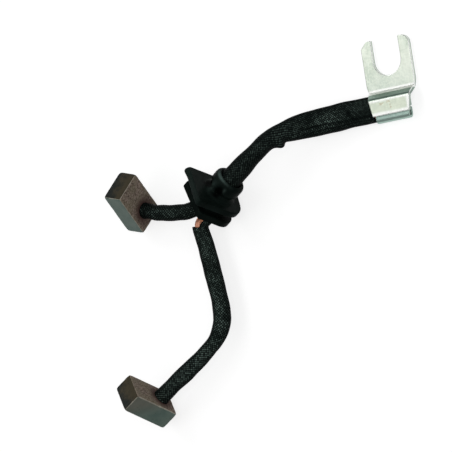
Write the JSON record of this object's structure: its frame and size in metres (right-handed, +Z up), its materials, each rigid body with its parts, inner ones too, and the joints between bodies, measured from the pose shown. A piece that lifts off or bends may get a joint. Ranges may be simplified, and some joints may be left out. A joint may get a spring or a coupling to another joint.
{
  "type": "carbon brush",
  "caption": "Carbon brush set: rectangular copper-graphite brushes on sleeved copper leads that pass through a rubber grommet to a cranked fork terminal",
  "frame": {"origin": "Centre of the fork slot, on the terminal's underside. The set lies at rest on the plane z = 0.", "axes": "+X along the leads into the terminal, +Y out of the open end of the fork, +Z up through the slot for the stud."},
  "size_m": [0.1008, 0.0952, 0.019],
  "materials": {
    "terminal": "tin-plated, satin",
    "ferrule": "tin-plated, satin",
    "copper": "bare stranded copper",
    "sleeve": "varnished weave, satin",
    "grommet": "soft moulded, satin",
    "brush": "baked copper-graphite, matte and grainy"
  },
  "bodies": {
    "root": {"terminal": "terminal", "ferrule": "ferrule", "lead_short": "copper", "lead_long": "copper", "sleeve_pair": "sleeve", "grommet": "grommet", "sleeve_short": "sleeve", "sleeve_long": "sleeve", "brush_short": "brush", "brush_long": "brush"}
  },
  "joints": []
}
